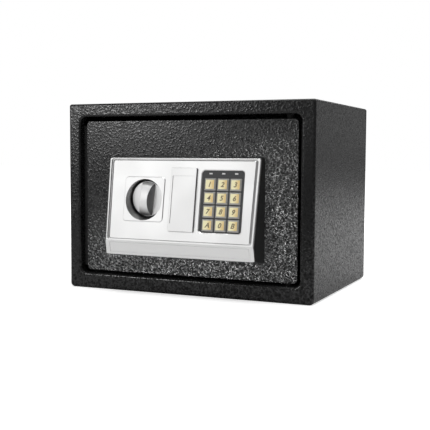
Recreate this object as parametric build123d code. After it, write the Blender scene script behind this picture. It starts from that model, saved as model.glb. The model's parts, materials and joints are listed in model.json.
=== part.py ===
from build123d import *
import math
import os

# Electronic home safe with a hinged front door, a wedge-shaped control panel,
# a turning knob that throws two locking bolts, and a twelve-key pad.
# Millimetres. +X right, +Y towards the back, +Z up. The front faces -Y.
# Origin: centre of the underside.

# --- body ---
width = 350.0
depth = 250.0
height = 250.0
sheet = 2.0
top_corner_r = 3.0
low_corner_r = 6.0
fold_r = 3.0
back_fold = 8.0
front = -depth / 2
back = depth / 2

# --- front frame and its opening ---
side_bar = 17.4
top_bar = 17.3
bottom_bar = 20.7
opening_r = 9.0
lip_fold_r = 3.0
side_lip = 11.1
long_lip = 26.0
open_x = width / 2 - side_bar
open_low = bottom_bar
open_high = height - top_bar

# --- door plate and the folded pan behind it ---
door_recess = 8.0
door_thick = 3.0
door_gap = 6.0
door_r = 5.5
door_face = front + door_recess
door_rear = door_face + door_thick
door_x = open_x - door_gap
door_low = open_low + 3.4
door_high = open_high - 5.7
pan_inset = 6.0
pan_sheet = 1.5
pan_depth = 28.0
pan_flange = 12.0
pan_r = 2.0
pan_x = door_x - pan_inset
pan_low = door_low + 5.0
pan_high = door_high - 5.0
pan_rear = door_rear + pan_depth

# --- hinge ---
hinge_x = 138.5
hinge_y = -109.0
hinge_r = 4.0
running_gap = 0.05
hinge_end = 2.0

# --- control panel: a wedge whose face leans back at the top ---
panel_x = -1.0
panel_foot_w = 218.6
panel_foot_low = 47.3
panel_foot_high = 179.7
panel_draft = 0.16
panel_top_thick = 9.6
panel_ridge_thick = 27.6
panel_low_thick = 24.0
panel_top_z = 178.2
panel_ridge_z = 70.0
panel_low_z = 51.1
cover_thick = 2.5
housing_wall = 2.5
panel_r = 2.5
channel_deep = 1.9
rim_round = 1.2

# --- items on the face: u across from the panel's middle, s down from its top edge ---
knob_u = -51.7
knob_z = 124.5
knob_x = panel_x + knob_u
knob_r = 23.0
knob_face = -125.5
knob_disc = 4.0
grip_height = 12.2
grip_front_w = 10.4
grip_base_w = 18.4
grip_chord = 45.0
grip_tilt = 7.0
well_r = 25.3
well_slope = 0.13
surround = 59.0
surround_rise = 0.9
surround_s = 54.5

lock_u = 4.5
lock_x = panel_x + lock_u
lock_z = 125.0
lock_nose = -131.0
lock_end = -99.0
plug_r = 6.0
key_cover_w = 36.0
key_cover_h = 82.0
key_cover_s = 54.0
key_cover_rise = 2.5

pad_u = 58.0
pad_s = 55.0
pad_w = 57.0
pad_h = 78.5
pad_sink = 0.9
key_u = 58.5
key_s = 33.3
key_pitch_u = 17.5
key_pitch_s = 17.2
key_base = 15.5
key_top = 12.3
key_rise = 0.6
key_travel = 1.0
key_flange_low = -3.6
board_top = -5.9
lens_s = 19.5

# --- bolt work ---
bolt_r = 8.0
bolt_y = -100.0
bolt_rows = (68.0, 182.0)
bolt_throw = 18.0
bolt_tip = -pan_x - 1.5
carrier_front = -104.0
carrier_rear = -101.0
crank_r = bolt_throw / math.sqrt(2)
crank_pin_r = 2.5
crank_front = -111.4
crank_rear = -108.2
slot_half = 3.1
stud_x = -95.0
stud_rows = (95.0, 155.0)
stud_r = 3.0

# --- solenoid ---
sol_x = -30.0
sol_y = -102.5
sol_low = 165.0
sol_high = 195.0
plunger_r = 3.25
plunger_tip = 153.0
plunger_throw = 7.0
plunger_collar = 159.5
arm_top = 152.0

# --- inside of the door ---
cover_rear = pan_rear + 1.5
cell_r = 7.1
cell_length = 50.0
cell_pitch = 15.0
cell_count = 4
box_x = 83.0
box_z = 90.0
box_w = 66.0
box_h = 64.0
box_front = -104.5
box_wall = 1.5
cell_y = box_front + box_wall + cell_r + 0.2
reset_x = 96.0
reset_z = 160.0
screw_r = 1.5

# --- places shared by several pieces ---
cable_x = 57.0
cable_z = 75.0
panel_screw_places = [(panel_x + side * 98, z) for side in (-1, 1) for z in (60.0, 166.0)]
solenoid_screw_places = [(sol_x + side * 17, (sol_low + sol_high) / 2) for side in (-1, 1)]
cover_screw_places = [(side * (pan_x - 7.5), z) for side in (-1, 1) for z in (50.0, 125.0, 200.0)]
board_screw_places = [(pad_u + side * 29.6, s) for side in (-1, 1) for s in (22.0, 92.0)]
rivet_places = [(-pan_x + shift, z) for z in bolt_rows for shift in (26.0, 38.0)]

# --- anchor holes ---
anchor_r = 5.0
anchor_spacing = 200.0
anchor_y = 20.0
anchor_z = 125.0


# ---------- plain shapes ----------

def block(x0, x1, y0, y1, z0, z1):
    """Box between two corners."""
    middle = Pos((x0 + x1) / 2, (y0 + y1) / 2, (z0 + z1) / 2)
    return middle * Box(x1 - x0, y1 - y0, z1 - z0)


def rod_y(x, z, radius, y0, y1):
    """Cylinder along Y."""
    return Pos(x, (y0 + y1) / 2, z) * Rot(90, 0, 0) * Cylinder(radius, y1 - y0)


def rod_x(y, z, radius, x0, x1):
    """Cylinder along X."""
    return Pos((x0 + x1) / 2, y, z) * Rot(0, 90, 0) * Cylinder(radius, x1 - x0)


def rod_z(x, y, radius, z0, z1):
    """Cylinder along Z."""
    return Pos(x, y, (z0 + z1) / 2) * Cylinder(radius, z1 - z0)


def upright(outline, x, z, y0, y1):
    """Flat outline, stood up across Y between y0 and y1."""
    return extrude(Plane.XZ.offset(-y1) * Pos(x, z) * outline, amount=y1 - y0)


def rounded_plate(x0, x1, z0, z1, y0, y1, radius):
    """Upright plate with rounded corners."""
    outline = RectangleRounded(x1 - x0, z1 - z0, radius)
    return upright(outline, (x0 + x1) / 2, (z0 + z1) / 2, y0, y1)


def screw(x, z, seat, length, radius=screw_r, toward=-1):
    """Pan-head screw along Y: its head stands on seat, its shank points the way of toward."""
    head = 2.0
    head_radius = 2.0 * radius
    far = seat - toward * head
    tip = seat + toward * length
    body = rod_y(x, z, head_radius, min(seat, far), max(seat, far))
    body += rod_y(x, z, radius, min(seat, tip), max(seat, tip))
    driver = 0.6 * head_radius
    slot = 0.5
    deep = far + toward * 0.8
    for long_x, long_z in ((driver, slot), (slot, driver)):
        body -= block(x - long_x, x + long_x, min(far, deep), max(far, deep), z - long_z, z + long_z)
    return body


# ---------- the two planes of the panel's front ----------

face_top = Vector(panel_x, door_face - panel_top_thick, panel_top_z)
face_ridge = Vector(panel_x, door_face - panel_ridge_thick, panel_ridge_z)
face_low = Vector(panel_x, door_face - panel_low_thick, panel_low_z)


def leaning_plane(upper, lower):
    """Plane through two points of the panel's middle line, its normal pointing out of the front."""
    along = (lower - upper).normalized()
    return Plane(origin=upper, x_dir=(1, 0, 0), z_dir=along.cross(Vector(1, 0, 0)))


face_plane = leaning_plane(face_top, face_ridge)
strip_plane = leaning_plane(face_ridge, face_low)
face_length = (face_ridge - face_top).length
strip_length = (face_low - face_ridge).length


def on_face(outline, u, s, n0, n1):
    """Outline laid on the sloping face at u, s, between the heights n0 and n1."""
    return extrude(face_plane.offset(n0) * Pos(u, -s) * outline, amount=n1 - n0)


def on_strip(outline, u, s, n0, n1):
    """The same on the lower strip, s down from the ridge."""
    return extrude(strip_plane.offset(n0) * Pos(u, -s) * outline, amount=n1 - n0)


def half_width(z, y):
    """Half the panel's width where the drafted side wall passes depth y."""
    return panel_foot_w / 2 - panel_draft * (door_face - y)


# ---------- fixed body ----------

def body_outline(inset):
    """Front view of the wrap, moved in by inset; its lower corners are rounder than its upper ones."""
    outline = Rectangle(width - 2 * inset, height - 2 * inset)
    corners = outline.vertices().sort_by(Axis.Y)
    outline = fillet(corners[:2], low_corner_r - inset)
    return fillet(outline.vertices().sort_by(Axis.Y)[-2:], top_corner_r - inset)


def wrap(inset, y0, y1):
    """The body's outline moved in by inset, stood up between y0 and y1."""
    return upright(body_outline(inset), 0, height / 2, y0, y1)


def body_shell():
    tube = wrap(0, front, back - back_fold)
    tube = fillet(tube.faces().sort_by(Axis.Y)[0].edges(), fold_r)
    tube -= wrap(sheet, front + sheet, back)
    lip = rounded_plate(
        -open_x - sheet, open_x + sheet, open_low - sheet, open_high + sheet,
        front + sheet / 2, front + side_lip, opening_r + sheet,
    )
    shell = tube + lip
    reach = open_x - opening_r
    for low in (open_low - sheet, open_high):
        shell += block(-reach, reach, front + sheet, front + long_lip, low, low + sheet)
    shell -= rounded_plate(-open_x, open_x, open_low, open_high, front, front + side_lip, opening_r)
    mouth = shell.faces().sort_by(Axis.Y)[0].inner_wires()[0].edges()
    shell = fillet(mouth, lip_fold_r)
    for low in (open_low - sheet, open_high):
        shell -= rod_z(hinge_x, hinge_y, hinge_r + running_gap, low - 1, low + sheet + 1)
    for side in (-1, 1):
        shell -= rod_z(side * anchor_spacing / 2, anchor_y, anchor_r, -1, sheet + 1)
    return shell


def back_panel():
    """Shallow folded pan that closes the back; its rim meets the wrap edge to edge."""
    panel = wrap(0, back - back_fold, back)
    panel = fillet(panel.faces().sort_by(Axis.Y)[-1].edges(), fold_r)
    panel -= wrap(sheet, back - back_fold, back - sheet)
    for side in (-1, 1):
        panel -= rod_y(side * anchor_spacing / 2, anchor_z, anchor_r, back - sheet, back)
    return panel


def strike_bracket():
    stop_front = front + side_lip
    outer = -open_x - 2 * sheet
    tip = -door_x + 3.0
    low = pan_low + 1
    high = pan_high - 1
    angle = block(outer, tip, stop_front, stop_front + sheet, low, high)
    angle += block(outer, outer + sheet, stop_front, -84, low, high)
    for z in bolt_rows:
        angle -= rod_x(bolt_y, z, bolt_r + 0.5, outer - 1, outer + sheet + 1)
    return angle


def hinge_guard():
    """Angle behind the right lip; it closes the gap beside the door without touching its swing."""
    stop_front = front + side_lip
    outer = open_x + 2 * sheet
    low = pan_low + 1
    high = pan_high - 1
    angle = block(hinge_x + 15.8, outer, stop_front, stop_front + sheet, low, high)
    return angle + block(outer - sheet, outer, stop_front, -84, low, high)


def floor_mat():
    thick = 2.5
    mat = Pos(0, 24, sheet + thick / 2) * extrude(RectangleRounded(336, 196, 5), thick / 2, both=True)
    for side in (-1, 1):
        mat -= rod_z(side * anchor_spacing / 2, anchor_y, anchor_r + 4, sheet, sheet + thick)
    return mat


# ---------- door ----------

def door_plate():
    plate = rounded_plate(-door_x, door_x, door_low, door_high, door_face, door_rear, door_r)
    plate = fillet(plate.faces().sort_by(Axis.Y)[0].edges(), 0.8)
    plate -= rod_y(knob_x, knob_z, 6.0, door_face, door_rear)
    plate -= rod_y(lock_x, lock_z, 9.1, door_face, door_rear)
    plate -= rod_y(cable_x, cable_z, 6.0, door_face, door_rear)
    for x, z in panel_screw_places:
        plate -= rod_y(x, z, screw_r + 0.3, door_face, door_rear)
    for x, z in solenoid_screw_places:
        plate -= rod_y(x, z, screw_r + 0.05, door_rear - 2.4, door_rear)
    return plate


def door_pan():
    pan = rounded_plate(-pan_x, pan_x, pan_low, pan_high, door_rear, pan_rear, pan_r)
    pan -= rounded_plate(
        -pan_x + pan_sheet, pan_x - pan_sheet, pan_low + pan_sheet, pan_high - pan_sheet,
        door_rear, pan_rear - pan_sheet, pan_r - pan_sheet,
    )
    pan -= rounded_plate(
        -pan_x + pan_flange, pan_x - pan_flange, pan_low + pan_flange, pan_high - pan_flange,
        pan_rear - pan_sheet, pan_rear, 3.0,
    )
    for z in bolt_rows:
        pan -= rod_x(bolt_y, z, bolt_r + 0.1, -pan_x - 1, -pan_x + pan_sheet + 1)
    for low in (pan_low, pan_high - pan_sheet):
        pan -= rod_z(hinge_x, hinge_y, hinge_r + 0.1, low - 1, low + pan_sheet + 1)
    for x, z in cover_screw_places:
        pan -= rod_y(x, z, screw_r + 0.05, pan_rear - pan_sheet, pan_rear)
    return pan


def hinge_pins():
    head_r = 4.8
    head = 6.0
    top = rod_z(hinge_x, hinge_y, hinge_r, pan_high - pan_sheet, open_high + sheet + hinge_end)
    top += rod_z(hinge_x, hinge_y, head_r, pan_high - pan_sheet - head, pan_high - pan_sheet)
    low = rod_z(hinge_x, hinge_y, hinge_r, open_low - sheet - hinge_end, pan_low + pan_sheet)
    low += rod_z(hinge_x, hinge_y, head_r, pan_low + pan_sheet, pan_low + pan_sheet + head)
    return Compound([top, low])


def hinge_bushes():
    bushes = []
    for z0, z1 in ((open_low + 0.1, pan_low), (pan_high, open_high - 0.1)):
        bush = rod_z(hinge_x, hinge_y, 4.9, z0, z1)
        bushes.append(bush - rod_z(hinge_x, hinge_y, hinge_r + 0.02, z0, z1))
    return Compound(bushes)


def inner_cover():
    half_x = pan_x - 0.5
    cover = rounded_plate(-half_x, half_x, pan_low + 0.5, pan_high - 0.5, pan_rear, cover_rear, 4.0)
    clear = 0.2
    cover -= block(
        box_x - box_w / 2 - clear, box_x + box_w / 2 + clear, pan_rear, cover_rear,
        box_z - box_h / 2 - clear, box_z + box_h / 2 + clear,
    )
    cover -= rod_y(reset_x, reset_z, 3.7, pan_rear, cover_rear)
    for x, z in cover_screw_places:
        cover -= rod_y(x, z, screw_r + 0.2, pan_rear, cover_rear)
    return cover


def inner_cover_screws():
    return Compound([screw(x, z, cover_rear, 6.0) for x, z in cover_screw_places])


# ---------- power ----------

def battery_box():
    half_w = box_w / 2
    half_h = box_h / 2
    box = block(box_x - half_w, box_x + half_w, box_front, cover_rear, box_z - half_h, box_z + half_h)
    half_w -= box_wall
    half_h -= box_wall
    inside = box_front + box_wall
    return box - block(box_x - half_w, box_x + half_w, inside, cover_rear, box_z - half_h, box_z + half_h)


def cell_middles():
    first = box_x - cell_pitch * (cell_count - 1) / 2
    return [first + cell_pitch * i for i in range(cell_count)]


def batteries():
    cells = []
    for i, x in enumerate(cell_middles()):
        low = box_z - cell_length / 2
        cell = rod_z(x, cell_y, cell_r, low, low + cell_length - 1.0)
        cell += rod_z(x, cell_y, 2.7, low + cell_length - 1.0, low + cell_length)
        if i % 2:
            cell = Pos(x, cell_y, box_z) * Rot(180, 0, 0) * Pos(-x, -cell_y, -box_z) * cell
        cells.append(cell)
    return Compound(cells)


def battery_contacts():
    """A plate and a leaf spring at both ends of each cell."""
    contacts = []
    inner_half = box_h / 2 - box_wall
    for x in cell_middles():
        for side in (-1, 1):
            wall_z = box_z + side * inner_half
            cell_z = box_z + side * cell_length / 2
            low, high = sorted((wall_z, wall_z - side * 0.5))
            contact = block(x - 5, x + 5, cell_y - 5, cell_y + 5, low, high)
            low, high = sorted((wall_z, cell_z))
            contact += block(x - 1.5, x + 1.5, cell_y - 0.4, cell_y + 0.4, low, high)
            contacts.append(contact)
    return Compound(contacts)


def battery_cover():
    lid_front = cover_rear + 0.1
    lid = rounded_plate(
        box_x - box_w / 2 - 3, box_x + box_w / 2 + 3, box_z - box_h / 2 - 3, box_z + box_h / 2 + 3,
        lid_front, lid_front + 1.6, 3.0,
    )
    lid = fillet(lid.faces().sort_by(Axis.Y)[-1].edges(), 0.6)
    for rib in range(5):
        z = box_z + box_h / 2 - 6 - 3 * rib
        lid += block(box_x - 9, box_x + 9, lid_front + 1.6, lid_front + 2.4, z - 0.6, z + 0.6)
    for side in (-1, 1):
        tab_z = box_z + side * (box_h / 2 - 3)
        lid += block(box_x - 6, box_x + 6, lid_front - 4, lid_front, tab_z - 0.7, tab_z + 0.7)
    return lid


def reset_button():
    button = rod_y(reset_x, reset_z, 3.5, pan_rear - 1.5, cover_rear + 1.2)
    button = fillet(button.faces().sort_by(Axis.Y)[-1].edges(), 0.6)
    return button + rod_y(reset_x, reset_z, 4.6, pan_rear - 1.5, pan_rear - 0.1)


def reset_switch():
    """Microswitch in a clip under the inner cover; its actuator sits just under the button."""
    body = block(reset_x - 7, reset_x + 7, pan_rear - 12, pan_rear - 6, reset_z - 6, reset_z + 6)
    for side in (-1, 1):
        foot_x = reset_x + side * 8
        body += block(foot_x - 1, foot_x + 1, pan_rear - 12, pan_rear, reset_z - 6, reset_z + 6)
    return body + rod_y(reset_x, reset_z, 1.5, pan_rear - 6, pan_rear - 3.6)


# ---------- control panel ----------

def wedge(wall, inset):
    """The panel's outer shape, side walls moved in by wall and front planes moved back by inset."""
    foot = Plane.XZ.offset(-door_face) * Pos(panel_x, (panel_foot_low + panel_foot_high) / 2)
    outline = RectangleRounded(
        panel_foot_w - 2 * wall, panel_foot_high - panel_foot_low - 2 * wall, max(panel_r - wall, 0.5)
    )
    body = extrude(foot * outline, amount=40, taper=math.degrees(math.atan(panel_draft)))
    for plane in (face_plane, strip_plane):
        body = split(body, bisect_by=plane.offset(-inset), keep=Keep.BOTTOM)
    return body


def well_cone(extra, y_deep):
    """Well of the knob: a cone about the knob's axis that widens towards the front."""
    reach = 24.0
    start_r = well_r + well_slope * (knob_face - y_deep) + extra
    mouth_r = start_r + well_slope * reach
    profile = Polyline(
        (0, 0), (start_r, 0), (mouth_r, reach), (0, reach), close=True
    )
    cone = revolve(Plane.XY * make_face(profile), axis=Axis.Y)
    return Pos(knob_x, y_deep, knob_z) * Rot(180, 0, 0) * cone


def panel_housing():
    shell = wedge(0, cover_thick) - wedge(housing_wall, cover_thick + housing_wall)
    inner = wedge(0, cover_thick)
    shell += (well_cone(3.0, door_face - 1.5) & inner)
    shell -= well_cone(1.6, door_face - 4.0)
    shell -= rod_y(knob_x, knob_z, 10.0, door_face - 6, door_face)
    pocket_deep = cover_thick + 7.0
    shell += on_face(RectangleRounded(32.6, 76.6, 3), lock_u, key_cover_s, -pocket_deep, -cover_thick)
    shell -= on_face(RectangleRounded(30, 74, 2), lock_u, key_cover_s, -pocket_deep + 1.5, 0)
    shell -= rod_y(lock_x, lock_z, 9.1, -150, door_face)
    shell -= on_face(Rectangle(52.2, 76), key_u, 55.5, -cover_thick - housing_wall - 0.1, 0)
    for u, s in board_screw_places:
        shell += on_face(Circle(2.6), u, s, board_top, -4.9)
        shell -= on_face(Circle(1.05), u, s, -6.0, -3.4)
    for x, z in panel_screw_places:
        post = rod_y(x, z, 4.0, -150, door_face) & inner
        shell += post - rod_y(x, z, screw_r + 0.05, door_face - 8, door_face)
    return shell


def trapezium(top_half, low_half, top_s, low_s, radius):
    """Outline on the face that narrows towards the ridge, as the drafted sides do."""
    corners = [(-top_half, -top_s), (-low_half, -low_s), (low_half, -low_s), (top_half, -top_s)]
    return fillet(make_face(Polyline(*corners, close=True)).vertices(), radius)


def channel():
    """Groove around the raised field: a gentle inner slope at the sides, a steep one above the ridge."""
    field_low = face_length - 2.4
    outer = trapezium(105.4, 102.8, 1.2, field_low + 0.9, 3.0)
    foot = trapezium(103.8, 101.4, 2.2, field_low, 2.5)
    brow = trapezium(101.0, 98.6, 3.8, field_low - 0.6, 2.5)
    field = loft([face_plane.offset(-channel_deep) * foot, face_plane * brow], ruled=True)
    return on_face(outer, 0, 0, -channel_deep, 4) - field - on_face(brow, 0, 0, 0, 5)


def lies_on_face(edge):
    return all(abs(face_plane.to_local_coords(edge @ t).Z) < 0.01 for t in (0, 0.5, 1))


def knob_surround():
    """Low raised square with sloping sides around the knob's well."""
    size = surround + 1.0
    foot = face_plane.offset(-0.5) * Pos(knob_u, -surround_s) * RectangleRounded(size, size, 5.5)
    return extrude(foot, amount=0.5 + surround_rise, taper=45)


def panel_face():
    outer = wedge(0, 0)
    outer = fillet(outer.edges().filter_by(lies_on_face), rim_round)
    face = outer - wedge(0, cover_thick)
    face -= channel()
    face += knob_surround()
    cup = well_cone(1.5, door_face - 4.0) & wedge(0, 0)
    face += cup
    face -= well_cone(0, door_face - 4.0)
    face -= on_face(RectangleRounded(30, 74, 2), lock_u, key_cover_s, -5, 4)
    opening = on_face(RectangleRounded(pad_w + 0.4, pad_h + 0.4, 4), pad_u, pad_s, -5, 4)
    face -= opening
    flare = extrude(
        face_plane.offset(-pad_sink) * Pos(pad_u, -pad_s) * RectangleRounded(pad_w + 0.4, pad_h + 0.4, 4),
        amount=3, taper=-50,
    )
    face -= flare
    strip_w = 2 * half_width(60, -142) - 12
    line = RectangleRounded(strip_w, 13.6, 1.2) - RectangleRounded(strip_w - 1.2, 12.4, 0.6)
    face -= on_strip(line, 0, strip_length / 2 - 0.6, -0.5, 2)
    return face


def key_centres():
    """Each key's name with its place on the face."""
    names = ("1", "2", "3", "4", "5", "6", "7", "8", "9", "a", "0", "b")
    centres = []
    for i, name in enumerate(names):
        row, column = divmod(i, 3)
        centres.append((name, key_u + (column - 1) * key_pitch_u, key_s + row * key_pitch_s))
    return centres


def keypad_plate():
    plate = on_face(RectangleRounded(pad_w, pad_h, 3.8), pad_u, pad_s, -cover_thick, -pad_sink)
    hole = key_base + 0.4
    for _, u, s in key_centres():
        plate -= on_face(RectangleRounded(hole, hole, 0.8), u, s, -3, 0)
    for column in (-1, 0, 1):
        plate -= on_face(Rectangle(4.4, 1.9), key_u + column * key_pitch_u, lens_s, -3, 0)
    return plate


def indicator_lenses():
    lenses = []
    for column in (-1, 0, 1):
        u = key_u + column * key_pitch_u
        lenses.append(on_face(Rectangle(4.3, 1.8), u, lens_s, -cover_thick, -pad_sink + 0.2))
    return Compound(lenses)


def key(u, s):
    """Square key: flange under the plate, straight body, bevelled top."""
    bevel = (key_base - key_top) / 2
    flange = key_base + 1.0
    shape = on_face(Rectangle(flange, flange), u, s, key_flange_low, key_flange_low + 1.0)
    shape += on_face(RectangleRounded(key_base, key_base, 0.8), u, s, -2.7, key_rise - bevel)
    top = extrude(
        face_plane.offset(key_rise - bevel) * Pos(u, -s) * RectangleRounded(key_base, key_base, 0.8),
        amount=bevel, taper=45,
    )
    return shape + top


def key_membrane():
    """Rubber sheet under the keys, just clear of them when they are pressed."""
    middle_s = key_s + 1.5 * key_pitch_s
    top = key_flange_low - key_travel - 0.1
    return on_face(RectangleRounded(51.6, 68.8, 1), key_u, middle_s, board_top, top)


def circuit_board():
    board = on_face(RectangleRounded(64, 83, 1), pad_u, 55.5, -7.5, board_top)
    for column in (-1, 0, 1):
        board += on_face(Rectangle(3, 1.4), key_u + column * key_pitch_u, lens_s, board_top, -3.2)
    board += on_face(Rectangle(12, 12), pad_u + 14, 45, -9.0, -7.5)
    board += on_face(Rectangle(10, 5), cable_x - panel_x, 87, -11.5, -7.5)
    for u, s in board_screw_places:
        board -= on_face(Circle(1.2), u, s, -8, -5)
    return board


def board_screws():
    screws = []
    for u, s in board_screw_places:
        screws.append(on_face(Circle(2.0), u, s, -8.7, -7.5) + on_face(Circle(1.0), u, s, -7.5, -3.6))
    return Compound(screws)


def buzzer():
    can = on_face(Circle(6.0), pad_u - 14, 68, -12.5, -7.5)
    return can - on_face(Circle(0.8), pad_u - 14, 68, -13, -11.5)


def panel_screws():
    return Compound([screw(x, z, door_rear, 9.0) for x, z in panel_screw_places])


def key_cover():
    outline = RectangleRounded(key_cover_w, key_cover_h, 1.5)
    cover = on_face(outline, lock_u, key_cover_s, 0, key_cover_rise)
    outer = cover.faces().sort_by(lambda face: face.center().dot(face_plane.z_dir))[-1]
    cover = fillet(outer.edges(), 0.5)
    cover -= on_face(RectangleRounded(30.7, 61.5, 0.8), lock_u, key_cover_s, key_cover_rise - 0.7, 4)
    for side in (-1, 1):
        cover += on_face(Rectangle(12, 1.5), lock_u, key_cover_s + side * 35.7, -5.5, 0.2)
    return cover


# ---------- emergency lock ----------

def override_lock():
    barrel = rod_y(lock_x, lock_z, 11.0, lock_nose, lock_nose + 1.6)
    barrel = fillet(barrel.faces().sort_by(Axis.Y)[0].edges(), 0.6)
    barrel += rod_y(lock_x, lock_z, 9.0, lock_nose + 1.6, lock_end)
    return barrel - rod_y(lock_x, lock_z, plug_r + running_gap, lock_nose, lock_end)


def lock_nut():
    nut = upright(RegularPolygon(12.0, 6), lock_x, lock_z, door_rear, door_rear + 4)
    return nut - rod_y(lock_x, lock_z, 9.05, door_rear, door_rear + 4)


def lock_plug():
    plug = rod_y(lock_x, lock_z, plug_r, lock_nose - 0.4, lock_end + 0.1)
    plug += rod_y(lock_x, lock_z, 3.0, lock_end, lock_end + 4.5)
    return plug - block(lock_x - 1.0, lock_x + 1.0, lock_nose - 1, lock_nose + 12, lock_z - 4, lock_z + 4)


def lock_cam():
    """Flat tongue on the plug's tail; it points down to the left while the lock is at rest."""
    reach = 30.0
    y0 = lock_end + 0.1
    y1 = y0 + 2.0
    tongue = upright(SlotCenterToCenter(reach, 8.0), 0, 0, y0, y1)
    tongue = Pos(lock_x, 0, lock_z) * Rot(0, -45, 0) * Pos(-reach / 2, 0, 0) * tongue
    tongue += rod_y(lock_x, lock_z, 6.5, y0, y1)
    return tongue - rod_y(lock_x, lock_z, 3.02, y0, y1)


def cam_nut():
    nut = upright(RegularPolygon(5.2, 6), lock_x, lock_z, lock_end + 2.1, lock_end + 4.3)
    return nut - rod_y(lock_x, lock_z, 3.02, lock_end + 2, lock_end + 5)


# ---------- knob and its crank ----------

def knob():
    """Round disc with a dome-shaped grip bar across it, and a hub behind."""
    disc = rod_y(0, 0, knob_r, 0, knob_disc)
    disc = fillet(disc.faces().sort_by(Axis.Y)[0].edges(), 0.8)
    arc_r = ((grip_chord / 2) ** 2 + grip_height ** 2) / (2 * grip_height)
    dome = Pos(0, arc_r - grip_height, 0) * Rot(0, 90, 0) * Cylinder(arc_r, 2 * knob_r)
    slope = (grip_base_w - grip_front_w) / 2 / grip_height
    deep_half = grip_base_w / 2 + slope
    bar_profile = Polyline(
        (-deep_half, 1.0), (deep_half, 1.0), (grip_front_w / 2, -grip_height),
        (-grip_front_w / 2, -grip_height), close=True,
    )
    bar = extrude(Plane.XY * make_face(bar_profile), amount=knob_r, both=True)
    grip = bar & dome & rod_y(0, 0, knob_r - 0.8, -grip_height - 1, 1)
    ridge = grip.edges().filter_by(GeomType.ELLIPSE)
    grip = fillet(ridge, 0.7)
    shape = disc + grip + rod_y(0, 0, 7.0, knob_disc, knob_disc + 2.9)
    shape -= rod_y(0, 0, 4.02, 1.5, knob_disc + 3)
    return Pos(knob_x, knob_face, knob_z) * Rot(0, grip_tilt, 0) * shape


def knob_shaft():
    return rod_y(knob_x, knob_z, 4.0, knob_face + 1.5, crank_rear)


def shaft_bush():
    bush = rod_y(knob_x, knob_z, 9.0, door_face - 1.3, door_face)
    bush += rod_y(knob_x, knob_z, 6.0, door_face, crank_front - 0.2)
    return bush - rod_y(knob_x, knob_z, 4.0 + running_gap, door_face - 2, crank_front)


def crank_pin_place():
    """The crank pin stands 45 degrees to the right of straight up while the bolts are drawn in."""
    reach = crank_r / math.sqrt(2)
    return knob_x + reach, knob_z + reach


def drive_crank():
    pin_x, pin_z = crank_pin_place()
    arm = upright(SlotCenterToCenter(crank_r, 12.0), 0, 0, crank_front, crank_rear)
    arm = Pos(knob_x, 0, knob_z) * Rot(0, -45, 0) * Pos(crank_r / 2, 0, 0) * arm
    arm += rod_y(knob_x, knob_z, 8.0, crank_front, crank_rear)
    arm -= rod_y(knob_x, knob_z, 4.02, crank_front, crank_rear)
    return arm + rod_y(pin_x, pin_z, crank_pin_r, crank_rear, carrier_rear + 2.0)


def crank_screw():
    top = crank_rear + 2.4
    head = rod_y(knob_x, knob_z, 5.0, crank_rear, top)
    return head - block(knob_x - 3, knob_x + 3, top - 1.0, top, knob_z - 0.5, knob_z + 0.5)


def bolt_carrier():
    web_left = -pan_x + 20.5
    web_right = web_left + 40
    web_low = bolt_rows[0] - 10
    web_high = bolt_rows[1] + 10
    carrier = block(web_left, web_right, carrier_front, carrier_rear, web_low, web_high)
    carrier += block(web_right - 1, sol_x, carrier_front, carrier_rear, 126, arm_top)
    carrier += block(sol_x - 1, sol_x + bolt_throw + 8, carrier_front, carrier_rear, 139, arm_top)
    corners = carrier.edges().filter_by(Axis.Y)
    carrier = fillet(corners, 2.5)
    pin_x, pin_z = crank_pin_place()
    rise = crank_r - (pin_z - knob_z)
    slot = SlotCenterToCenter(rise + 0.8, 2 * slot_half, rotation=90)
    carrier -= upright(slot, pin_x, pin_z + rise / 2, carrier_front - 1, carrier_rear + 1)
    for z in stud_rows:
        guide = SlotCenterToCenter(bolt_throw + 0.6, 2 * (stud_r + 0.1))
        carrier -= upright(guide, stud_x + bolt_throw / 2, z, carrier_front - 1, carrier_rear + 1)
    notch_half = plunger_r + 0.45
    notch_floor = plunger_tip - plunger_throw - 1.2
    for shift in (0, bolt_throw):
        x = sol_x + shift
        carrier -= block(x - notch_half, x + notch_half, carrier_front, carrier_rear, notch_floor, arm_top)
    for x, z in rivet_places:
        carrier -= rod_y(x, z, 2.5, carrier_front, carrier_rear)
    return carrier


def locking_bolts():
    """Round bolts with a flat tail that lies on the carrier."""
    shoulder = -pan_x + 19.5
    tail_end = -pan_x + 45.0
    bolts = []
    for z in bolt_rows:
        bolt = rod_x(bolt_y, z, bolt_r, bolt_tip, tail_end)
        bolt = chamfer(bolt.faces().sort_by(Axis.X)[0].edges(), 1.5)
        bolt -= block(shoulder, tail_end, bolt_y - bolt_r, carrier_rear, z - bolt_r, z + bolt_r)
        for x, row in rivet_places:
            if row == z:
                bolt -= rod_y(x, z, 2.5, carrier_rear, bolt_y + bolt_r)
        bolts.append(bolt)
    return Compound(bolts)


def bolt_rivets():
    rivets = []
    for x, z in rivet_places:
        rivet = rod_y(x, z, 2.5, carrier_front, bolt_y + 5)
        rivets.append(rivet + rod_y(x, z, 4.2, carrier_front - 1.5, carrier_front))
    return Compound(rivets)


def carrier_studs():
    """Shouldered studs welded to the door plate; the carrier slides on them."""
    studs = []
    for z in stud_rows:
        stud = rod_y(stud_x, z, 5.0, door_rear, carrier_front - 0.1)
        stud += rod_y(stud_x, z, stud_r, carrier_front - 0.1, carrier_rear + 3)
        stud -= clip_ring(z, stud_r + 1)
        studs.append(stud)
    return Compound(studs)


def clip_ring(z, radius):
    ring = rod_y(stud_x, z, radius, carrier_rear + 0.2, carrier_rear + 1.2)
    return ring - rod_y(stud_x, z, stud_r - 0.6, carrier_rear, carrier_rear + 2)


def stud_clips():
    return Compound([clip_ring(z, 6.0) for z in stud_rows])


# ---------- solenoid ----------

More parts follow.
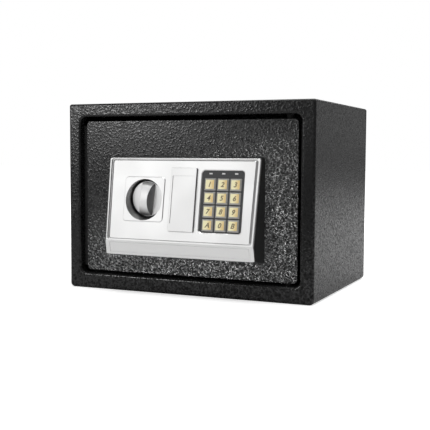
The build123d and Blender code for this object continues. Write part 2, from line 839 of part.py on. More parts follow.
def solenoid_frame():
    half = 11.0
    strap = 1.5
    frame = block(sol_x - half, sol_x + half, door_rear, sol_y + 9.8, sol_low, sol_high)
    frame -= block(
        sol_x - half, sol_x + half, door_rear + strap, sol_y + 9.8, sol_low + strap, sol_high - strap
    )
    frame += block(sol_x - 22, sol_x + 22, door_rear, door_rear + strap, sol_low + 8, sol_high - 8)
    frame -= rod_z(sol_x, sol_y, plunger_r + 0.5, sol_low - 1, sol_low + strap + 1)
    for x, z in solenoid_screw_places:
        frame -= rod_y(x, z, screw_r + 0.1, door_rear, door_rear + strap)
    return frame


def solenoid_coil():
    low = sol_low + 1.5
    high = sol_high - 1.5
    coil = rod_z(sol_x, sol_y, 9.0, low, low + 1.5) + rod_z(sol_x, sol_y, 9.0, high - 1.5, high)
    coil += rod_z(sol_x, sol_y, 8.2, low, high)
    return coil - rod_z(sol_x, sol_y, plunger_r + running_gap, low, high - 3)


def plunger():
    rod = rod_z(sol_x, sol_y, plunger_r, plunger_tip, sol_high - 6)
    rod = chamfer(rod.faces().sort_by(Axis.Z)[0].edges(), 0.6)
    return rod + rod_z(sol_x, sol_y, 4.4, plunger_collar, plunger_collar + 1.0)


def plunger_spring():
    """Compression spring between the plunger's collar and the solenoid frame."""
    wire = 0.35
    low = plunger_collar + 1.0 + wire
    high = sol_low - wire
    path = Helix(pitch=(high - low) / 3, height=high - low, radius=3.9)
    start = Plane(origin=path @ 0, z_dir=path % 0)
    coil = sweep(start * Circle(wire), path=path)
    return Pos(sol_x, sol_y, low) * coil


def solenoid_screws():
    return Compound([screw(x, z, door_rear + 1.5, 3.6) for x, z in solenoid_screw_places])


def wire_loom():
    """Wires from the board through the door plate to the solenoid and the battery box."""
    board_back = -121.0
    trunk_y = door_rear + 4.0
    box_top = box_z + box_h / 2
    coil_z = (sol_low + sol_high) / 2
    routes = (
        [(cable_x, board_back, cable_z + 4), (cable_x, board_back, cable_z), (cable_x, trunk_y, cable_z),
         (cable_x, trunk_y, 145), (sol_x + 24, trunk_y, 145), (sol_x + 24, trunk_y, coil_z - 7),
         (sol_x + 15, sol_y, coil_z), (sol_x + 9.3, sol_y, coil_z)],
        [(cable_x + 3, board_back, cable_z + 4), (cable_x + 3, board_back, cable_z),
         (cable_x + 3, trunk_y, cable_z), (cable_x + 3, trunk_y, box_top + 9),
         (box_x, box_front + 8, box_top + 9), (box_x, box_front + 8, box_top)],
    )
    wires = []
    for route in routes:
        path = FilletPolyline(*route, radius=2.5)
        start = Plane(origin=path @ 0, z_dir=path % 0)
        wires.append(sweep(start * Circle(1.2), path=path))
    return Compound(wires)


# ---------- every piece and its file ----------

parts = {
    "body_shell": body_shell,
    "back_panel": back_panel,
    "strike_bracket": strike_bracket,
    "hinge_guard": hinge_guard,
    "floor_mat": floor_mat,
    "door_plate": door_plate,
    "door_pan": door_pan,
    "hinge_pins": hinge_pins,
    "hinge_bushes": hinge_bushes,
    "inner_cover": inner_cover,
    "inner_cover_screws": inner_cover_screws,
    "battery_box": battery_box,
    "batteries": batteries,
    "battery_contacts": battery_contacts,
    "battery_cover": battery_cover,
    "reset_button": reset_button,
    "reset_switch": reset_switch,
    "panel_housing": panel_housing,
    "panel_face": panel_face,
    "panel_screws": panel_screws,
    "keypad_plate": keypad_plate,
    "indicator_lenses": indicator_lenses,
    "key_membrane": key_membrane,
    "circuit_board": circuit_board,
    "board_screws": board_screws,
    "buzzer": buzzer,
    "key_cover": key_cover,
    "override_lock": override_lock,
    "lock_nut": lock_nut,
    "lock_plug": lock_plug,
    "lock_cam": lock_cam,
    "cam_nut": cam_nut,
    "knob": knob,
    "knob_shaft": knob_shaft,
    "shaft_bush": shaft_bush,
    "drive_crank": drive_crank,
    "crank_screw": crank_screw,
    "bolt_carrier": bolt_carrier,
    "locking_bolts": locking_bolts,
    "bolt_rivets": bolt_rivets,
    "carrier_studs": carrier_studs,
    "stud_clips": stud_clips,
    "solenoid_frame": solenoid_frame,
    "solenoid_coil": solenoid_coil,
    "plunger": plunger,
    "plunger_spring": plunger_spring,
    "solenoid_screws": solenoid_screws,
    "wire_loom": wire_loom,
}

os.makedirs("parts", exist_ok=True)
for node, make in parts.items():
    export_step(make(), "parts/" + node + ".step")
for name, u, s in key_centres():
    export_step(key(u, s), "parts/key_" + name + ".step")
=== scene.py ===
import json
import math

import bmesh
import bpy
from mathutils import Matrix, Vector, noise

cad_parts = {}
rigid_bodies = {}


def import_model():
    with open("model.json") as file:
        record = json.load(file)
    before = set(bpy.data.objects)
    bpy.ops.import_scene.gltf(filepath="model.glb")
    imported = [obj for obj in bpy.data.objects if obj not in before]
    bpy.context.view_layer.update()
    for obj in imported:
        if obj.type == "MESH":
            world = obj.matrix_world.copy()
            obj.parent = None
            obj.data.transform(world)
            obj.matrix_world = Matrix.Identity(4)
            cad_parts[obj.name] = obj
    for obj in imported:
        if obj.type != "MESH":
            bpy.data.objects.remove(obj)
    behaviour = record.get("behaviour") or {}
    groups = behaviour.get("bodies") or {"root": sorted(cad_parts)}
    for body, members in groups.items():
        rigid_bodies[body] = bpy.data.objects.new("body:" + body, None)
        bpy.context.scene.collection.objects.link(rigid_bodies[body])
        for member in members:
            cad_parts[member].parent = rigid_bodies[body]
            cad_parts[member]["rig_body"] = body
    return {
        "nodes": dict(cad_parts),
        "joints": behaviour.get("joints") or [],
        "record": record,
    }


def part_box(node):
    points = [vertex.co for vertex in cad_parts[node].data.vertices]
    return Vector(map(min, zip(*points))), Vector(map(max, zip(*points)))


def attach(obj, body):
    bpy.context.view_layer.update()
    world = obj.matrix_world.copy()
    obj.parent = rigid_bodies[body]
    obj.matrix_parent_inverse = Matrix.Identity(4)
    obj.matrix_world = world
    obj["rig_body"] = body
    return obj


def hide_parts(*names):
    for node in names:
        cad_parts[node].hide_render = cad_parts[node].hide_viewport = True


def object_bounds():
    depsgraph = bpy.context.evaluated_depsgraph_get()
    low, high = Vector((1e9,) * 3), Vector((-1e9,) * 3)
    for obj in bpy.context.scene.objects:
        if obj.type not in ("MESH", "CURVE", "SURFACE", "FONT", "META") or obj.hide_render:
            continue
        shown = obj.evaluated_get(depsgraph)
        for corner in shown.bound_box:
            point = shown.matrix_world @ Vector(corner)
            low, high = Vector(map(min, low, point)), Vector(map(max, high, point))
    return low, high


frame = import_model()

# Looks of the electronic home safe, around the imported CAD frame.
# Metres: +X right, +Y back, +Z up; the door faces -Y.

MM = 0.001
cad_low, cad_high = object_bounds()
nodes = frame["nodes"]
joints = {joint["name"]: joint for joint in frame["joints"]}
front_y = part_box("body_shell")[0].y

# --- the camera: where the viewer stands and how the lens is turned ---
camera_place = Vector((0.4714, -1.0766, 0.1837))
camera_azimuth = math.radians(24.19)
camera_elevation = math.radians(4.24)
camera_roll = math.radians(0.26)
camera_lens = 69.1

# --- the panel's own axes: across, up the slope, and out of the face ---
face_out = -Vector(joints["press_5"]["axis"]).normalized()
face_across = Vector((1, 0, 0))
face_up = face_out.cross(face_across)
face_turn = Matrix((face_across, face_up, face_out)).transposed().to_4x4()


# ---------- shader helpers ----------

def connect(socket, value):
    """Links another socket into this one, or sets its value."""
    if isinstance(value, bpy.types.NodeSocket):
        socket.id_data.links.new(value, socket)
    else:
        socket.default_value = value


def feed(made, **inputs):
    """Connects a shader node's inputs, named with _ for a space."""
    for name, value in inputs.items():
        connect(made.inputs[name.replace("_", " ")], value)


def node(tree, kind, props=None, **inputs):
    """Adds a shader node with its properties and inputs."""
    made = tree.nodes.new("ShaderNode" + kind)
    for name, value in (props or {}).items():
        setattr(made, name, value)
    feed(made, **inputs)
    return made


def new_material(name, **inputs):
    """A material with one Principled surface and the inputs given."""
    material = bpy.data.materials.new(name)
    material.use_nodes = True
    tree = material.node_tree
    surface = tree.nodes["Principled BSDF"]
    feed(surface, **inputs)
    return material, tree, surface


def grey(value, tint=(1, 1, 1)):
    """A grey, or a tinted one, as red, green, blue and alpha."""
    return tuple(value * part for part in tint) + (1.0,)


def shaded(colour, share):
    """A darker tone of a colour."""
    return tuple(share * part for part in colour[:3]) + (1.0,)


def object_coords(tree):
    """Place on the piece in metres, as modelled."""
    return node(tree, "TexCoord").outputs["Object"]


def part_of(tree, vector, axis):
    """One coordinate of a vector: 0 for X, 1 for Y, 2 for Z."""
    return node(tree, "SeparateXYZ", Vector=vector).outputs[axis]


def place_part(tree, axis):
    """One coordinate of the place on the piece."""
    return part_of(tree, object_coords(tree), axis)


def grain(tree, scale, detail=2.0, roughness=0.5, distortion=0.0):
    """Noise laid over the piece itself; scale is in cells per metre."""
    made = node(
        tree, "TexNoise", Vector=object_coords(tree), Scale=scale,
        Detail=detail, Roughness=roughness, Distortion=distortion,
    )
    return made.outputs["Fac"]


def spread(tree, value, low, high, to_low=0.0, to_high=1.0):
    """Maps low..high of a value onto to_low..to_high, held at the ends."""
    made = node(
        tree, "MapRange", {"interpolation_type": "SMOOTHSTEP"}, Value=value,
        From_Min=low, From_Max=high, To_Min=to_low, To_Max=to_high,
    )
    return made.outputs["Result"]


def combine(tree, operation, a, b):
    """One sum, product or comparison of two values."""
    made = node(tree, "Math", {"operation": operation})
    connect(made.inputs[0], a)
    connect(made.inputs[1], b)
    return made.outputs["Value"]


def two_values(tree, share, first, second):
    """The first value where share is 0, the second where it is 1."""
    made = node(tree, "Mix", {"data_type": "FLOAT"})
    connect(made.inputs[0], share)
    connect(made.inputs[2], first)
    connect(made.inputs[3], second)
    return made.outputs[0]


def two_colours(tree, share, first, second):
    """The first colour where share is 0, the second where it is 1."""
    made = node(tree, "Mix", {"data_type": "RGBA"})
    connect(made.inputs[0], share)
    connect(made.inputs[6], first)
    connect(made.inputs[7], second)
    return made.outputs[2]


def raise_surface(tree, surface, height, depth):
    """Bump of the given depth in metres."""
    bump = node(tree, "Bump", Height=height, Distance=depth, Strength=1.0)
    feed(surface, Normal=bump.outputs["Normal"])


# ---------- materials: the wrinkle coat ----------

def worms(tree, cells_per_metre):
    """Soft ridges that wind about each other, as wrinkle paint dries."""
    return grain(tree, cells_per_metre, detail=0.5, roughness=0.5, distortion=0.6)


def inside_walls(tree):
    """1 on the walls of the cavity behind the front frame, 0 on the outer faces."""
    skin = 1.2 * MM
    frame_depth = 15.0 * MM
    shares = []
    for axis in (0, 2):
        middle = (cad_low[axis] + cad_high[axis]) / 2
        half = cad_high[axis] - middle - skin
        offset = combine(tree, "SUBTRACT", place_part(tree, axis), middle)
        shares.append(combine(tree, "DIVIDE", combine(tree, "ABSOLUTE", offset, 0.0), half))
    enclosed = combine(tree, "LESS_THAN", combine(tree, "MAXIMUM", *shares), 1.0)
    behind_frame = combine(tree, "GREATER_THAN", place_part(tree, 1), front_y + frame_depth)
    before_back = combine(tree, "LESS_THAN", place_part(tree, 1), cad_high.y - skin)
    return combine(tree, "MULTIPLY", combine(tree, "MULTIPLY", enclosed, behind_frame), before_back)


def off_the_front(tree):
    """0 on faces turned to the front near the front edge, 1 on side faces and farther back."""
    behind = spread(tree, place_part(tree, 1), front_y + 12.0 * MM, front_y + 14.0 * MM)
    facing = part_of(tree, node(tree, "NewGeometry").outputs["True Normal"], 1)
    aside = spread(tree, facing, -0.75, -0.35)
    return combine(tree, "MAXIMUM", behind, aside)


def low_right_share(tree):
    """0 high at the left of the safe, 1 low at the right."""
    across = combine(tree, "MULTIPLY", place_part(tree, 0), 0.5)
    up = combine(tree, "MULTIPLY", place_part(tree, 2), 1.2)
    return spread(tree, combine(tree, "SUBTRACT", across, up), -0.26, -0.04)


def wrinkle_coat(name, high_depth, low_depth, side_depth, ridge_shine):
    """Charcoal wrinkle powder coat.

    The depths are in millimetres: front faces high left, front faces low right, and the
    other faces. ridge_shine is what the ridges gain over the valleys low right.
    """
    material, tree, surface = new_material(name)
    low_right = low_right_share(tree)
    elsewhere = off_the_front(tree)
    in_front = combine(tree, "SUBTRACT", 1.0, elsewhere)
    front_low = combine(tree, "MULTIPLY", low_right, in_front)

    grit = combine(tree, "MULTIPLY", grain(tree, 1500, detail=2, roughness=0.6), 0.12)
    coarse = combine(tree, "ADD", worms(tree, 370), grit)
    depth = spread(tree, low_right, 0.0, 1.0, high_depth, low_depth)
    front_height = combine(tree, "MULTIPLY", coarse, depth)
    side_height = combine(tree, "MULTIPLY", worms(tree, 700), side_depth)
    raise_surface(tree, surface, two_values(tree, elsewhere, front_height, side_height), 1.0 * MM)

    ridge = spread(tree, coarse, 0.35, 0.72)
    # painted shade: the hollows of the wrinkles are coloured darker than the ridges
    outside = two_colours(tree, ridge, grey(0.004), grey(0.013, (1, 1, 1.03)))
    valley_shine = spread(tree, front_low, 0.0, 1.0, 0.35, 0.12)
    ridge_gain = spread(tree, front_low, 0.0, 1.0, 0.0, ridge_shine)
    feed(
        surface,
        Base_Color=two_colours(tree, inside_walls(tree), outside, grey(0.035)),
        Roughness=spread(tree, ridge, 0.0, 1.0, 0.45, 0.17),
        Specular_IOR_Level=combine(
            tree, "ADD", valley_shine, combine(tree, "MULTIPLY", ridge_gain, ridge),
        ),
    )
    return material


# ---------- materials: the panel's lacquer ----------

def facing_out(tree):
    """How squarely the surface faces out of the panel, 1 for flat on its face."""
    dot = node(tree, "VectorMath", {"operation": "DOT_PRODUCT"})
    connect(dot.inputs[0], node(tree, "NewGeometry").outputs["Normal"])
    connect(dot.inputs[1], face_out)
    return dot.outputs["Value"]


def silver_lacquer(name, brightness, roughness, shade_share):
    """Silver paint on moulded plastic, with fine flake.

    Walls that turn away from the panel's face are darkened as painted shade, to the share of brightness
    given.
    """
    material, tree, surface = new_material(name, Metallic=1.0)
    flake = grain(tree, 2600, detail=1, roughness=0.6)
    waves = grain(tree, 25, detail=1)
    full = two_colours(tree, flake, grey(brightness * 0.94), grey(brightness, (1, 1, 0.99)))
    # painted shade: walls turned away from the panel's face take the darker colour
    unshaded = spread(tree, facing_out(tree), 0.4, 0.9)
    feed(
        surface,
        Base_Color=two_colours(tree, unshaded, grey(brightness * shade_share), full),
        Roughness=spread(tree, waves, 0.3, 0.7, roughness - 0.03, roughness + 0.03),
    )
    raise_surface(tree, surface, flake, 0.006 * MM)
    return material


# ---------- materials: plastics, metals and the rest ----------

def moulded_plastic(name, colour, roughness=0.5, spark=1400, depth=0.02):
    """Plastic from a spark-eroded mould; spark is in pits per metre, depth in millimetres."""
    material, tree, surface = new_material(name)
    pits = grain(tree, spark, detail=2, roughness=0.6)
    feed(
        surface,
        Base_Color=two_colours(tree, pits, shaded(colour, 0.8), colour),
        Roughness=spread(tree, pits, 0.3, 0.7, roughness + 0.06, roughness - 0.06),
    )
    raise_surface(tree, surface, pits, depth * MM)
    return material


def metal(name, colour, roughness, lay=(1, 1, 1)):
    """Plated or turned metal; lay stretches the brushing along one axis."""
    material, tree, surface = new_material(name, Metallic=1.0)
    stretch = node(tree, "Mapping", Vector=object_coords(tree), Scale=lay)
    brushed = node(tree, "TexNoise", Vector=stretch.outputs["Vector"], Scale=900, Detail=3)
    marks = brushed.outputs["Fac"]
    feed(
        surface,
        Base_Color=two_colours(tree, marks, shaded(colour, 0.82), colour),
        Roughness=spread(tree, marks, 0.25, 0.75, roughness - 0.06, roughness + 0.08),
    )
    raise_surface(tree, surface, marks, 0.004 * MM)
    return material


def felt():
    """Dark pressed felt: fine fibres over slow patches."""
    material, tree, surface = new_material(
        "felt", Sheen_Weight=0.35, Specular_IOR_Level=0.1, Roughness=0.95,
    )
    fibres = grain(tree, 1500, detail=4, roughness=0.75, distortion=2.0)
    patches = combine(tree, "MULTIPLY", grain(tree, 90, detail=2), 0.25)
    mix = combine(tree, "ADD", combine(tree, "MULTIPLY", fibres, 0.75), patches)
    feed(surface, Base_Color=two_colours(tree, mix, grey(0.02), grey(0.14)))
    raise_surface(tree, surface, fibres, 0.5 * MM)
    return material


def gold_foil():
    """Gold seen through the clear key cap; it warms towards the right edge."""
    material, tree, surface = new_material(
        "gold_foil", Metallic=0.45, Coat_Weight=0.6, Coat_Roughness=0.12, Roughness=0.38,
    )
    across = part_of(tree, node(tree, "TexCoord").outputs["Generated"], 0)
    cloud = combine(tree, "MULTIPLY", grain(tree, 160, detail=2), 0.4)
    warm = spread(tree, combine(tree, "ADD", across, cloud), 0.55, 1.1)
    pale_gold = (1.0, 0.93, 0.58, 1)
    deep_gold = (0.85, 0.62, 0.26, 1)
    feed(surface, Base_Color=two_colours(tree, warm, pale_gold, deep_gold))
    raise_surface(tree, surface, grain(tree, 2200, detail=1), 0.006 * MM)
    return material


def clear_bevel():
    """The cap's clear plastic outside the gold, which looks pale and slightly warm."""
    material, tree, surface = new_material(
        "clear_bevel", Coat_Weight=0.8, Coat_Roughness=0.08, Roughness=0.25,
    )
    cloud = grain(tree, 300, detail=1)
    warm = (1, 0.98, 0.92)
    feed(surface, Base_Color=two_colours(tree, cloud, grey(0.40, warm), grey(0.55, warm)))
    return material


def key_print():
    """Brown ink of the characters, a little worn."""
    material, tree, surface = new_material("key_print", Roughness=0.4)
    worn = grain(tree, 700, detail=2)
    ink = two_colours(tree, worn, (0.13, 0.10, 0.06, 1), (0.24, 0.19, 0.11, 1))
    feed(surface, Base_Color=ink)
    return material


def light_guide():
    """Frosted clear plastic in front of the indicator lights."""
    material, tree, surface = new_material("light_guide", Roughness=0.2, Coat_Weight=0.5)
    frost = grain(tree, 800, detail=1)
    feed(surface, Base_Color=two_colours(tree, frost, grey(0.75), grey(0.9)))
    return material


def board_material():
    """Green circuit board with lighter tracks."""
    material, tree, surface = new_material("board_green", Roughness=0.35)
    tracks = node(
        tree, "TexBrick", Vector=object_coords(tree), Scale=160.0,
        Color1=(0.01, 0.10, 0.035, 1), Color2=(0.012, 0.13, 0.04, 1), Mortar=(0.03, 0.22, 0.07, 1),
    )
    feed(surface, Base_Color=tracks.outputs["Color"])
    return material


def banded_sleeve():
    """Printed sleeve of a cell: a dark body and a metallic band at one end."""
    material, tree, surface = new_material("cell_wrap", Roughness=0.3)
    low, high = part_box("batteries")
    band_at = low.z + 0.72 * (high.z - low.z)
    band = spread(tree, place_part(tree, 2), band_at, band_at + 0.4 * MM)
    printed = two_colours(tree, band, (0.01, 0.012, 0.014, 1), (0.62, 0.40, 0.16, 1))
    feed(surface, Base_Color=printed, Metallic=band)
    return material


def paint_slots():
    """Gives every CAD node the material of its slot in the record."""
    upright_lay = (1, 1, 0.06)
    bolt_lay = (0.05, 1, 1)
    by_slot = {
        "powder_coat": wrinkle_coat("door_coat", 0.35, 2.4, 0.3, ridge_shine=1.0),
        "inner_paint": moulded_plastic("inner_paint", grey(0.03), 0.55, 700, 0.05),
        "felt": felt(),
        "zinc_steel": metal("zinc_steel", grey(0.62, (1, 0.98, 0.94)), 0.35, upright_lay),
        "screw_steel": metal("screw_steel", grey(0.58), 0.32),
        "bolt_chrome": metal("bolt_chrome", grey(0.78), 0.14, bolt_lay),
        "spring_steel": metal("spring_steel", grey(0.6), 0.25),
        "brass": metal("turned_brass", (0.70, 0.50, 0.22, 1), 0.3),
        "housing_black": moulded_plastic("housing_black", grey(0.030), 0.5),
        "case_black": moulded_plastic("case_black", grey(0.02), 0.45),
        "panel_silver": silver_lacquer("panel_silver", 0.92, 0.36, shade_share=0.55),
        "cover_silver": silver_lacquer("cover_silver", 0.90, 0.38, shade_share=0.30),
        "knob_silver": silver_lacquer("knob_silver", 0.97, 0.45, shade_share=0.30),
        "keypad_dark": moulded_plastic("keypad_dark", grey(0.055, (0.98, 1.0, 1.06)), 0.4, 1800, 0.008),
        "key_gold": gold_foil(),
        "lens_clear": light_guide(),
        "membrane_rubber": moulded_plastic("membrane_rubber", grey(0.2), 0.7),
        "board_green": board_material(),
        "coil_tape": moulded_plastic("coil_tape", (0.5, 0.33, 0.03, 1), 0.35, 300, 0.05),
        "cell_wrap": banded_sleeve(),
        "button_red": moulded_plastic("button_red", (0.45, 0.012, 0.01, 1), 0.3, 1800, 0.005),
        "wire_cover": moulded_plastic("wire_cover", (0.25, 0.01, 0.01, 1), 0.4),
    }
    wrap_coat = wrinkle_coat("wrap_coat", 0.45, 0.25, 0.22, ridge_shine=0.35)
    by_node = {
        "body_shell": wrap_coat,
        "back_panel": wrap_coat,
        # painted shade: the hinge bushes are near black so they read as the dark gap beside the door
        "hinge_bushes": moulded_plastic("bush_in_painted_shade", grey(0.006), 0.9),
    }
    for part in frame["record"]["subparts"]:
        name = part["node"]
        mesh = nodes[name].data
        mesh.materials.clear()
        mesh.materials.append(by_node.get(name, by_slot[part["material_slot"]]))


# ---------- pieces made here: the keys ----------

def face_box(name):
    """Lowest and highest corner of a CAD node along the panel's own axes."""
    inverse = face_turn.inverted()
    points = [inverse @ vertex.co for vertex in nodes[name].data.vertices]
    low = Vector(min(point[i] for point in points) for i in range(3))
    high = Vector(max(point[i] for point in points) for i in range(3))
    return low, high


def new_piece(name, mesh, *materials):
    """Puts a mesh in the scene as an object and adds these materials to it."""
    piece = bpy.data.objects.new(name, mesh)
    bpy.context.scene.collection.objects.link(piece)
    for material in materials:
        mesh.materials.append(material)
    return piece


def rounded_ring(half, radius, steps=5):
    """Points of a rounded square around the origin, anticlockwise."""
    points = []
    for quarter in range(4):
        start = quarter * math.pi / 2
        middle_x = (half - radius) * (1 if quarter in (0, 3) else -1)
        middle_y = (half - radius) * (1 if quarter in (0, 1) else -1)
        for step in range(steps + 1):
            angle = start + step / steps * math.pi / 2
            points.append((middle_x + radius * math.cos(angle), middle_y + radius * math.sin(angle)))
    return points


def key_cap(name, bevel_material, gold_material):
    """Clear square cap: straight sides, sloping bevel, and a gold field sunk in a thin rim."""
    low, high = face_box(name)
    centre = (low + high) / 2
    top = high.z
    half = 7.75 * MM
    half_radius_height = (
        (half, 0.8 * MM, low.z + 1.0 * MM),
        (half, 0.8 * MM, top - 1.6 * MM),
        (half - 0.25 * MM, 0.8 * MM, top - 1.3 * MM),
        (half - 1.65 * MM, 0.7 * MM, top - 0.12 * MM),
        (half - 1.80 * MM, 0.7 * MM, top),
        (half - 1.95 * MM, 0.6 * MM, top - 0.05 * MM),
    )
    made = bmesh.new()
    loops = []
    for size, radius, height in half_radius_height:
        loop = []
        for x, y in rounded_ring(size, radius):
            loop.append(made.verts.new(face_turn @ Vector((centre.x + x, centre.y + y, height))))
        loops.append(loop)
    count = len(loops[0])
    for lower, upper in zip(loops, loops[1:]):
        for i in range(count):
            k = (i + 1) % count
            made.faces.new((lower[i], lower[k], upper[k], upper[i]))
    made.faces.new(list(reversed(loops[0])))
    gold_field = made.faces.new(loops[-1])
    gold_field.material_index = 1
    mesh = bpy.data.meshes.new(name + "_cap")
    made.to_mesh(mesh)
    made.free()

    cap = new_piece(name + "_cap", mesh, bevel_material, gold_material)
    body = nodes[name]["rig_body"]
    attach(cap, body)
    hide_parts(name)
    return Vector((centre.x, centre.y, top)), body


def letter_mesh(name, label):
    """Mesh of one slanted raised character, centred on the origin."""
    curve = bpy.data.curves.new(name, "FONT")
    curve.body = label
    curve.size = 8.8 * MM
    curve.shear = 0.28
    curve.extrude = 0.06 * MM
    curve.offset = 0.16 * MM
    curve.align_x = "CENTER"
    curve.align_y = "CENTER"
    text = bpy.data.objects.new(name, curve)
    bpy.context.scene.collection.objects.link(text)
    bpy.context.view_layer.update()
    mesh = bpy.data.meshes.new_from_object(text.evaluated_get(bpy.context.evaluated_depsgraph_get()))
    bpy.data.objects.remove(text)
    mesh.materials.clear()
    across = [vertex.co.x for vertex in mesh.vertices]
    up = [vertex.co.y for vertex in mesh.vertices]
    middle = Vector(((min(across) + max(across)) / 2, (min(up) + max(up)) / 2, 0))
    mesh.transform(Matrix.Translation(-middle))
    return mesh


def key_digit(name, label, place, body, material):
    """Character on the key's gold field; place is along the panel's own axes."""
    mesh = letter_mesh(name + "_text", label)
    mesh.transform(face_turn @ Matrix.Translation(place))
    digit = new_piece(name + "_digit", mesh, material)
    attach(digit, body)


def keys():
    """Shaped caps and characters for the twelve keys."""
    bevel = clear_bevel()
    gold = bpy.data.materials["gold_foil"]
    ink = key_print()
    for name in sorted(nodes):
        label = name.removeprefix("key_")
        if name.startswith("key_") and len(label) == 1:
            place, body = key_cap(name, bevel, gold)
            key_digit(name, label.upper(), place, body, ink)


# ---------- pieces made here: the felt mat ----------

def felt_mat():
    """Felt sheet with a soft edge and a slightly uneven top, over the CAD mat's outline."""
    mat = new_piece("felt_mat", nodes["floor_mat"].data.copy())
    remesh = mat.modifiers.new("remesh", "REMESH")
    remesh.mode = "VOXEL"
    remesh.voxel_size = 1.25 * MM
    bpy.context.view_layer.update()
    mesh = bpy.data.meshes.new_from_object(mat.evaluated_get(bpy.context.evaluated_depsgraph_get()))
    mat.modifiers.clear()
    mat.data = mesh
    low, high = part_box("floor_mat")
    middle = (low.z + high.z) / 2
    for vertex in mesh.vertices:
        if vertex.co.z > middle:
            slow = noise.noise(vertex.co * 35)
            quick = noise.noise(vertex.co * 260)
            vertex.co.z += (0.30 * slow + 0.22 * quick) * MM
    for polygon in mesh.polygons:
        polygon.use_smooth = True
    mesh.materials.clear()
    mesh.materials.append(bpy.data.materials["felt"])
    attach(mat, "safe_body")
    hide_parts("floor_mat")


# ---------- stage, light and camera ----------

def floor():
    """Pale floor that fades into the white backdrop away from the safe."""
    bpy.ops.mesh.primitive_plane_add(size=16, location=(0, 0, -0.2 * MM))
    plane = bpy.context.active_object
    plane.name = "floor"
    material, tree, surface = new_material("pale_floor", Roughness=0.75, Specular_IOR_Level=0.15)
    cloud = grain(tree, 3, detail=1)
    away = node(tree, "VectorMath", {"operation": "LENGTH"})
    connect(away.inputs[0], object_coords(tree))
    glow = spread(tree, away.outputs["Value"], 0.15, 0.8, 0.6, 1.0)
    seen = node(tree, "LightPath").outputs["Is Camera Ray"]
    feed(
        surface,
        Base_Color=two_colours(tree, cloud, grey(0.87), grey(0.89)),
        Emission_Color=grey(1.0),
        Emission_Strength=combine(tree, "MULTIPLY", glow, seen),
    )
    plane.data.materials.append(material)


def backdrop():
    """White world that the camera sees in full and the safe takes a little light from."""
    world = bpy.data.worlds.new("studio")
    bpy.context.scene.world = world
    world.use_nodes = True
    tree = world.node_tree
    fill = 0.14
    seen = node(tree, "LightPath").outputs["Is Camera Ray"]
    strength = combine(tree, "ADD", fill, combine(tree, "MULTIPLY", seen, 1.0 - fill))
    feed(tree.nodes["Background"], Color=grey(1.0), Strength=strength)


def linked(name, pieces, state):
    """A collection of pieces that a light takes alone (INCLUDE) or passes over (EXCLUDE)."""
    made = bpy.data.collections.new(name)
    for piece in pieces:
        made.objects.link(nodes[piece])
    for link in made.collection_objects:
        link.light_linking.link_state = state
    return made


def soft_light(name, place, aim, size, power, shape="RECTANGLE", only=None, shade=None):
    """Area light; only holds the pieces it lights, and shade the pieces that block it."""
    light = bpy.data.lights.new(name, "AREA")
    light.shape = shape
    light.size, light.size_y = size
    light.energy = power
    made = bpy.data.objects.new(name, light)
    made.location = place
    made.rotation_mode = "QUATERNION"
    made.rotation_quaternion = (Vector(aim) - Vector(place)).to_track_quat("-Z", "Y")
    made.visible_camera = False
    bpy.context.scene.collection.objects.link(made)
    if only is not None:
        made.light_linking.receiver_collection = only
    if shade is not None:
        made.light_linking.blocker_collection = shade


def dark_card(name, low, high):
    """Black flag beside the camera, outside the view, that keeps the low front reflections dark."""
    bpy.ops.mesh.primitive_cube_add(size=1, location=(Vector(low) + Vector(high)) / 2)
    card = bpy.context.active_object
    card.name = name
    card.scale = Vector(high) - Vector(low)
    black = new_material(name, Base_Color=grey(0.005), Roughness=1.0, Specular_IOR_Level=0.0)[0]
    card.data.materials.append(black)
    card.visible_camera = False
    card.visible_shadow = False


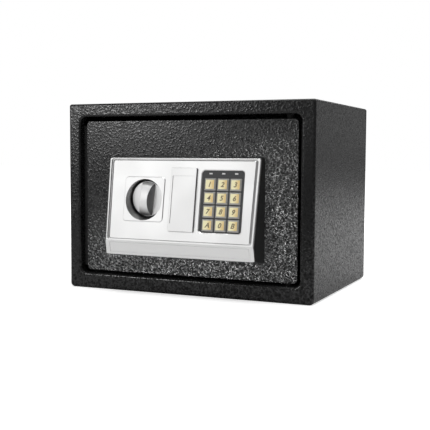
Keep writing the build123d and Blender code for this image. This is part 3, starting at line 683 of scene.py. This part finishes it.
def lighting():
    """Large soft lights for the whole safe, and smaller ones for its coat and its knob."""
    coated_pieces = ("body_shell", "door_plate")
    coated = linked("coated", coated_pieces, "INCLUDE")
    bare = linked("bare", coated_pieces, "EXCLUDE")
    solid_only = linked("solid_only", coated_pieces, "INCLUDE")
    door_only = linked("door_only", ("door_plate",), "INCLUDE")
    knob_only = linked("knob_only", ("knob",), "INCLUDE")
    soft_light("top", (0, -0.1, 2.2), (0, 0, 0), size=(1.6, 1.2), power=29)
    soft_light("behind", (1.3, 1.7, 1.6), (0.8, 0.9, 0), size=(1.6, 1.0), power=29)
    soft_light(
        "key", (-1.05, -1.55, 0.80), (0, -0.1, 0.12), size=(2.0, 2.0), power=11,
        shape="DISK", only=bare,
    )
    soft_light(
        "sheen", (-0.61, -0.97, 0.48), (0, -0.12, 0.15), size=(0.30, 0.35), power=5.4,
        only=coated, shade=solid_only,
    )
    soft_light(
        "edge", (0.65, 1.4, 0.34), (0.175, 0, 0.2), size=(0.6, 0.3), power=0.13,
        only=coated, shade=solid_only,
    )
    soft_light(
        "glint", (-0.05, -0.40, 0.03), (0.04, -0.12, 0.03), size=(0.06, 0.05), power=0.75,
        only=door_only, shade=solid_only,
    )
    soft_light(
        "knob_glow", (-0.53, -1.0, 0.07), (-0.05, -0.13, 0.125), size=(0.3, 0.3), power=0.5,
        only=knob_only,
    )
    dark_card("low_flag", (-1.1, -0.72, 0.0), (0.1, -0.70, 0.10))


def camera():
    """The viewer's place, turn and lens."""
    data = bpy.data.cameras.new("camera")
    data.lens = camera_lens
    data.sensor_width = 36.0
    made = bpy.data.objects.new("camera", data)
    ahead = Vector((
        -math.sin(camera_azimuth) * math.cos(camera_elevation),
        math.cos(camera_azimuth) * math.cos(camera_elevation),
        -math.sin(camera_elevation),
    ))
    right = Vector((math.cos(camera_azimuth), math.sin(camera_azimuth), 0))
    up = right.cross(ahead)
    turned_right = math.cos(camera_roll) * right + math.sin(camera_roll) * up
    turned_up = math.cos(camera_roll) * up - math.sin(camera_roll) * right
    turn = Matrix((turned_right, turned_up, -ahead)).transposed().to_4x4()
    made.matrix_world = Matrix.Translation(camera_place) @ turn
    bpy.context.scene.collection.objects.link(made)
    bpy.context.scene.camera = made


paint_slots()
keys()
felt_mat()
floor()
backdrop()
lighting()
camera()
bpy.context.scene.view_settings.view_transform = "Standard"
